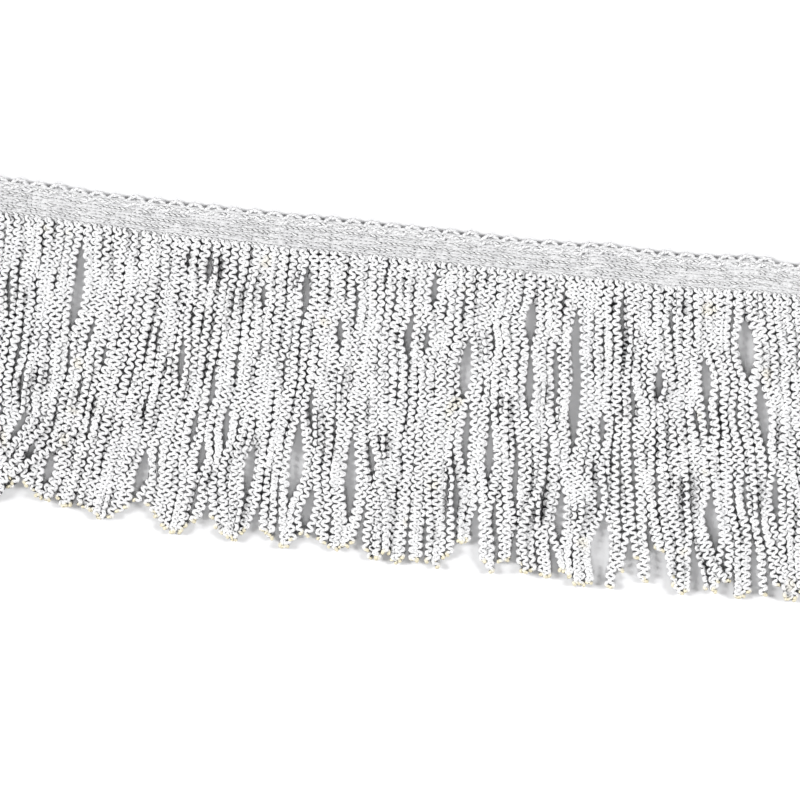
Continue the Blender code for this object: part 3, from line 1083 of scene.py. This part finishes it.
def ground_corners(columns):
    """The ground's corners: for each column the upper face's from edge to edge, then the lower face's."""
    corners = []
    for column in range(columns + 1):
        along = column * SCALLOP_PITCH / GROUND_COLUMNS - LEFT_OF_MARK
        top = hollow_line(along) + GROUND_INSET - scallop_lift(along, GROUND_RISE, HUMP_FLAT)
        lower = read(EDGES, along, "lower")
        for height in (GROUND_HIGH, GROUND_LOW):
            for row in range(GROUND_ROWS + 1):
                corners.append(place(along, top + (lower - top) * row / GROUND_ROWS, height))
    return corners


def make_ground(material):
    """A thin closed sheet with the heading's outline."""
    columns = SCALLOPS * GROUND_COLUMNS
    side = GROUND_ROWS + 1
    ring = 2 * side
    faces = []
    for column in range(columns):
        a, b = column * ring, (column + 1) * ring
        for row in range(GROUND_ROWS):
            faces.append((a + row, a + row + 1, b + row + 1, b + row))
            faces.append((a + side + row, b + side + row, b + side + row + 1, a + side + row + 1))
        faces.append((a, b, b + side, a + side))
        faces.append((a + GROUND_ROWS, a + ring - 1, b + ring - 1, b + GROUND_ROWS))
    for start, step in ((0, 1), (columns * ring, -1)):
        end = [*range(start + GROUND_ROWS, start - 1, -1), *range(start + side, start + ring)]
        faces.append(end[::step])
    mesh = bpy.data.meshes.new("heading_ground")
    mesh.from_pydata(ground_corners(columns), [], faces)
    mesh.shade_smooth()
    mesh.materials.append(material)
    return added("heading_ground", mesh)


# %% The ground's finish
RIB_WIDTH = 0.5
RIB_LENGTH = 0.7


def ground_finish():
    """The ground's material: white thread with a fine ribbed weave in its bump."""
    material, graph, shader = new_finish("heading_ground")
    spot = graph.add("ShaderNodeTexCoord")["Object"]
    parts = graph.add("ShaderNodeSeparateXYZ", None, {0: spot})
    cloud = graph.cloud(spot, 700.0, 3.0)
    colour = graph.mixed(cloud.ramp(0.3, 0.7), (0.80, 0.80, 0.81, 1.0), (0.68, 0.68, 0.69, 1.0))
    graph.feed(colour, shader, "Base Color")
    ribs = (parts["X"] * (2.0 * math.pi / (RIB_WIDTH * MM))).sine()
    weave = ribs * (parts["Y"] * (2.0 * math.pi / (RIB_LENGTH * MM))).sine()
    bump = {"Height": weave + cloud, "Strength": 0.5, "Distance": 0.1 * MM}
    graph.feed(graph.add("ShaderNodeBump", None, bump)["Normal"], shader, "Normal")
    graph.feed(0.6 + cloud * 0.2, shader, "Roughness")
    return material


GROUND = make_ground(ground_finish())
print("ground:", len(GROUND.data.polygons), "faces")

# %% The yarns that cross the heading
STITCH_ROWS = 5
CROSS_PITCH = 0.5 * STRAND_PITCH
CROSS_THICKNESS = 1.38
CROSS_SIDES = 5
CROSS_WAVE = 1.45
CROSS_SWING = 0.12
CROSS_TURN = 0.25
CROSS_HEIGHT = 0.82
CROSS_STEP = 0.26
CROSS_POINTS = 14
CROSS_RISE = 0.9
CROSS_INSET = 0.5
HELD_DOWN = 0.10
CROSS_SWAY = 0.18
CROSS_ENDS = 0.2


def cross_guides():
    """A guide for each yarn that lies across the heading, lower where a row of stitches holds it."""
    guides = []
    for number in range(2 * SCALLOPS * STRANDS_TO_A_SCALLOP):
        along = (number + 0.5) * CROSS_PITCH - LEFT_OF_MARK
        top = hollow_line(along) + CROSS_INSET - scallop_lift(along, CROSS_RISE, HUMP_FLAT)
        lower = read(EDGES, along, "lower") - CROSS_ENDS
        tone = chance_share(number * 2.3, 4.1, 1.0)
        in_step = 2.0 * chance(number * 0.7, 1.1, 6.0)
        guide = []
        for step in range(CROSS_POINTS + 1):
            share = step / CROSS_POINTS
            depth = top + 0.5 + (lower - top - 0.5) * share
            sway = CROSS_SWAY * chance(number * 0.6, depth / 4.0, 2.0)
            height = CROSS_HEIGHT + HELD_DOWN * math.cos(2.0 * math.pi * STITCH_ROWS * share)
            phase = 2.0 * math.pi * (depth - top) / CROSS_WAVE + in_step
            spot = place(along + sway, depth, height)
            guide.append(GuidePoint(spot, phase, CROSS_SWING * MM, CROSS_TURN, tone))
        guides.append(guide)
    return guides


CROSSINGS = yarns(
    "heading_crossing_yarns", cross_guides(), KNIT_FINISH, CROSS_THICKNESS, CROSS_STEP, CROSS_SIDES,
    overhang=0.05, cut_end=0.2,
)

# %% [markdown]
# ## The scalloped edge
#
# Two cords run along the heading's upper edge and arch over every scallop. Each is two plies twisted
# round each other, so each ply is a helix round the cord's line, made by the same yarn maker.

# %% The cords of the scalloped edge
PLY_THICKNESS = 0.95
PLY_SIDES = 6
PLY_STEP = 0.42
PLY_SWING = 0.27
PLY_TURN = 3.2
ARCH_ROUNDNESS = 0.7
CORD_STEPS = 12
Cord = namedtuple("Cord", "below rise height seed")
CORDS = [
    Cord(0.45, 1.45, 0.95, 2.0),
    Cord(1.95, 0.85, 1.25, 6.0),
]


def cord_line(cord):
    """A cord's middle line over all scallops, as a list of (along, depth)."""
    line = []
    for step in range(SCALLOPS * CORD_STEPS + 1):
        along = step / CORD_STEPS * SCALLOP_PITCH - LEFT_OF_MARK
        grow = 1.0 + 0.3 * chance(step // CORD_STEPS * 1.3, cord.seed, 5.4)
        slide = 0.5 * chance(along / 9.0, cord.seed, 0.4)
        lift = scallop_lift(along + slide, 1.0, HUMP_FLAT) ** ARCH_ROUNDNESS * cord.rise * grow
        line.append((along, hollow_line(along) + cord.below - lift))
    return line


def ply_guide(cord, ply):
    """The guide of one ply, which twists round its cord's line."""
    guide = []
    travelled = 0.0
    before = None
    for along, depth in cord_line(cord):
        spot = Vector((along, depth))
        travelled += (spot - before).length if before is not None else 0.0
        before = spot
        angle = 2.0 * math.pi * travelled / PLY_TURN + ply
        tone = chance_share(along / 3.0, ply, 8.4)
        height = cord.height + PLY_SWING * math.sin(angle)
        guide.append(straight(place(along, spot.y + PLY_SWING * math.cos(angle), height), tone))
    return guide


EDGE_GUIDES = [ply_guide(cord, ply) for cord in CORDS for ply in (0.0, math.pi)]
EDGE_CORDS = yarns("heading_scallop_cords", EDGE_GUIDES, EDGE_FINISH, PLY_THICKNESS, PLY_STEP, PLY_SIDES)

# %% [markdown]
# ## The rows of stitches
#
# Each row is a chain of small stitches, one for each yarn that it holds. A stitch is two short bowed
# legs side by side. One stitch is made once, and Geometry Nodes set a copy of it on every point of the
# row, turned along the row and a little uneven. A few brighter threads show over them.

# %% One stitch of two short legs
STITCH_THREAD = 0.98
STITCH_STEP = 0.42
THREAD_SIDES = 5
LegPoint = namedtuple("LegPoint", "share side height")
LEG = [
    LegPoint(-0.74, 0.30, -0.12),
    LegPoint(-0.30, 0.44, 0.02),
    LegPoint(0.15, 0.50, 0.05),
    LegPoint(0.50, 0.42, 0.01),
    LegPoint(0.78, 0.30, -0.14),
]


def leg_guide(points, side, tone):
    """A short thread round the origin, on one side of the row or the other."""
    corners = [Vector((spot.share * CROSS_PITCH, side * spot.side, spot.height)) * MM for spot in points]
    return [straight(corner, tone) for corner in corners]


LEGS = [leg_guide(LEG, side, 0.3) for side in (-1.0, 1.0)]
STITCH = yarns("one_stitch", LEGS, CHAIN_FINISH, STITCH_THREAD, STITCH_STEP, THREAD_SIDES)

# %% Set the stitches along their rows
LEAST_SIZE = (0.85, 0.80, 0.6)
MOST_SIZE = (1.12, 1.38, 0.9)
END_ROOM = 0.6 * CROSS_PITCH
LINE_STEPS = 2 * SCALLOPS


def row_tree():
    """Sets a copy of a stitch on every point of a row."""
    graph, given = new_tree("stitch_rows", {
        "Stitch": "Object",
        "Pitch": "Float",
        "Share": "Float",
        "Seed": "Int",
        "Material": "Material",
    })
    lines = line_points(graph, given["Geometry"], given["Pitch"])
    chosen = {"Probability": given["Share"], "Seed": given["Seed"]}
    chosen = graph.add("FunctionNodeRandomValue", {"data_type": "BOOLEAN"}, chosen)[3]
    shape = graph.add("GeometryNodeObjectInfo", None, {"Object": given["Stitch"]})["Geometry"]
    tangent = {"Vector": graph.add("GeometryNodeInputTangent")[0]}
    facing = graph.add("FunctionNodeAlignRotationToVector", {"axis": "X", "pivot_axis": "Z"}, tangent)[0]
    size = {"Min": LEAST_SIZE, "Max": MOST_SIZE, "Seed": given["Seed"]}
    size = graph.add("FunctionNodeRandomValue", {"data_type": "FLOAT_VECTOR"}, size)[0]
    copies = {"Points": lines, "Selection": chosen, "Instance": shape, "Rotation": facing, "Scale": size}
    placed = graph.add("GeometryNodeInstanceOnPoints", None, copies)[0]
    shade = {2: 0.0, 3: 1.0, "Seed": given["Seed"]}
    shade = graph.add("FunctionNodeRandomValue", {"data_type": "FLOAT"}, shade)[1]
    finished(graph, stored(graph, placed, "tone", shade, domain="INSTANCE"), given["Material"])
    return graph.tree


def row_guides(raised, shift):
    """The rows' lines along the heading, at a height and a little further down or not."""
    guides = []
    for row in range(STITCH_ROWS):
        guide = []
        for step in range(LINE_STEPS + 1):
            along = (step / LINE_STEPS) * (HEADING_LENGTH - 2.0 * END_ROOM) + END_ROOM - LEFT_OF_MARK
            sway = 0.12 * chance(along / 5.0, row * 3.0, 2.0)
            height = raised + 0.1 * chance(along / 4.0, row * 5.0, 7.0)
            depth = row_depth(along, (row + 0.5) / STITCH_ROWS) + sway + shift
            guide.append(straight(place(along, depth, height), 0.5))
        guides.append(guide)
    return guides


def set_along_rows(name, stitch, material, guides, pitch, share, seed):
    """A piece made of copies of a stitch, which is then removed."""
    values = {"Stitch": stitch, "Pitch": pitch * MM, "Share": share, "Seed": seed, "Material": material}
    made = run_tree(guide_object(name + "_lines", guides), ROW_TREE, values, name)
    bpy.data.objects.remove(stitch, do_unlink=True)
    return made


ROW_TREE = row_tree()
ROW_LINES = row_guides(1.22, 0.0)
CHAINS = set_along_rows("heading_stitch_rows", STITCH, CHAIN_FINISH, ROW_LINES, CROSS_PITCH, 1.0, seed=4)

# %% Brighter threads that show here and there
SPECK_THREAD = 0.56
SPECK_STEP = 0.3
SPECK_PITCH = 1.7
SPECK_SHARE = 0.62
SPECK_LINE = [
    LegPoint(-0.55, 0.22, -0.05),
    LegPoint(-0.15, 0.05, 0.16),
    LegPoint(0.25, -0.12, 0.16),
    LegPoint(0.55, -0.20, -0.05),
]
SPECK_GUIDES = [leg_guide(SPECK_LINE, 1.0, 0.2)]
SPECK = yarns("one_speck", SPECK_GUIDES, SPECK_FINISH, SPECK_THREAD, SPECK_STEP, THREAD_SIDES)
SPECK_ROWS = row_guides(1.70, 0.15)
SPECKS = set_along_rows(
    "heading_bright_threads", SPECK, SPECK_FINISH, SPECK_ROWS, SPECK_PITCH, SPECK_SHARE, seed=9
)

# %% [markdown]
# ## The room
#
# The trim lies on a plain pale floor. Three distant soft lamps light it, two low ones from its sides and
# a higher, weaker one from the tips' side. Low lamps leave the narrow gaps between the strands grey, as
# one soft light from above wouldn't. The walls look bright but throw little light, for the same reason.
# The camera looks straight down, turned a little, so that the heading slopes as in the photograph.

# %% The floor
FLOOR_HALF = 2.0
FLOOR_LEVEL = -0.05


def make_floor():
    """A large plain pale floor under the trim."""
    mesh = bpy.data.meshes.new("floor")
    sides = ((-1, -1), (1, -1), (1, 1), (-1, 1))
    corners = [(x * FLOOR_HALF, y * FLOOR_HALF, FLOOR_LEVEL * MM) for x, y in sides]
    mesh.from_pydata(corners, [], [(0, 1, 2, 3)])
    material, graph, shader = new_finish("floor")
    cloud = graph.cloud(graph.add("ShaderNodeTexCoord")["Object"], 60.0, 2.0)
    colour = graph.mixed(cloud.ramp(0.3, 0.7), (0.87, 0.87, 0.88, 1.0), (0.85, 0.85, 0.86, 1.0))
    graph.feed(colour, shader, "Base Color")
    shader.inputs["Roughness"].default_value = 0.9
    shader.inputs["Specular IOR Level"].default_value = 0.0
    mesh.materials.append(material)
    return added("floor", mesh)


FLOOR = make_floor()
print("floor: %.1f m wide" % (2.0 * FLOOR_HALF))

# %% The lights
Lamp = namedtuple("Lamp", "name azimuth elevation softness strength")
LAMPS = [
    Lamp("left", 176.0, 26.0, 22.0, 3.7),
    Lamp("right", 12.0, 26.0, 22.0, 3.05),
    Lamp("upper", 262.0, 45.0, 30.0, 1.2),
]
ROOM_LIGHT = 0.13
ROOM_SEEN = 1.0


def hang_lamp(lamp):
    """A distant soft lamp, so that the light is even all over the floor."""
    data = bpy.data.lights.new(lamp.name, "SUN")
    data.angle = math.radians(lamp.softness)
    data.energy = lamp.strength
    light = added(lamp.name, data)
    azimuth, elevation = math.radians(lamp.azimuth), math.radians(lamp.elevation)
    flat = math.cos(elevation)
    light.location = (math.cos(azimuth) * flat, math.sin(azimuth) * flat, math.sin(elevation))
    light.rotation_euler = (-light.location).to_track_quat("-Z", "Y").to_euler()


def make_room():
    """White walls all round that look bright but throw little light."""
    room = bpy.data.worlds.new("room")
    room.use_nodes = True
    graph = Graph(room.node_tree)
    walls = room.node_tree.nodes["Background"]
    walls.inputs["Color"].default_value = (1.0, 1.0, 1.0, 1.0)
    seen = graph.add("ShaderNodeLightPath")["Is Camera Ray"]
    graph.feed(seen * (ROOM_SEEN - ROOM_LIGHT) + ROOM_LIGHT, walls, "Strength")
    return room


for lamp in LAMPS:
    hang_lamp(lamp)
bpy.context.scene.world = make_room()
bpy.context.scene.view_settings.view_transform = "Standard"
print("lamps:", [lamp.name for lamp in LAMPS])

# %% The camera
CAMERA_TURN = math.radians(5.9)
VIEW_ALONG = 128.15
VIEW_DEPTH = 53.2
VIEW_WIDTH = 244.0
LENS = 85.0
SENSOR = 36.0


def set_camera():
    """A camera that looks straight down on the middle of the view."""
    data = bpy.data.cameras.new("camera")
    data.lens = LENS
    data.sensor_width = SENSOR
    camera = added("camera", data)
    middle = place(VIEW_ALONG, VIEW_DEPTH, 0.0)
    camera.location = (middle.x, middle.y, VIEW_WIDTH * MM * LENS / SENSOR)
    camera.rotation_euler = (0.0, 0.0, CAMERA_TURN)
    bpy.context.scene.camera = camera
    return camera


print("camera at", [round(v, 3) for v in set_camera().location])

# %% [markdown]
# ## Tie the pieces to the solid model
#
# Every piece rides on the trim's one body and stands for the solid whose place it takes. The heading's
# depth, laid flat, is the ground's upper area shared out over the cut length.

# %% Ride and replace
for piece in (GROUND, CROSSINGS, EDGE_CORDS, CHAINS, SPECKS):
    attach(piece, "root")
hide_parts("heading")
upper_area = sum(face.area for face in GROUND.data.polygons if face.normal.z > 0.5)
HEADING_DEPTH = upper_area / (HEADING_LENGTH * MM) / MM
print("heading, laid flat: %.1f x %.1f mm" % (HEADING_DEPTH, HEADING_LENGTH))
HEADING_DEPTH * MM
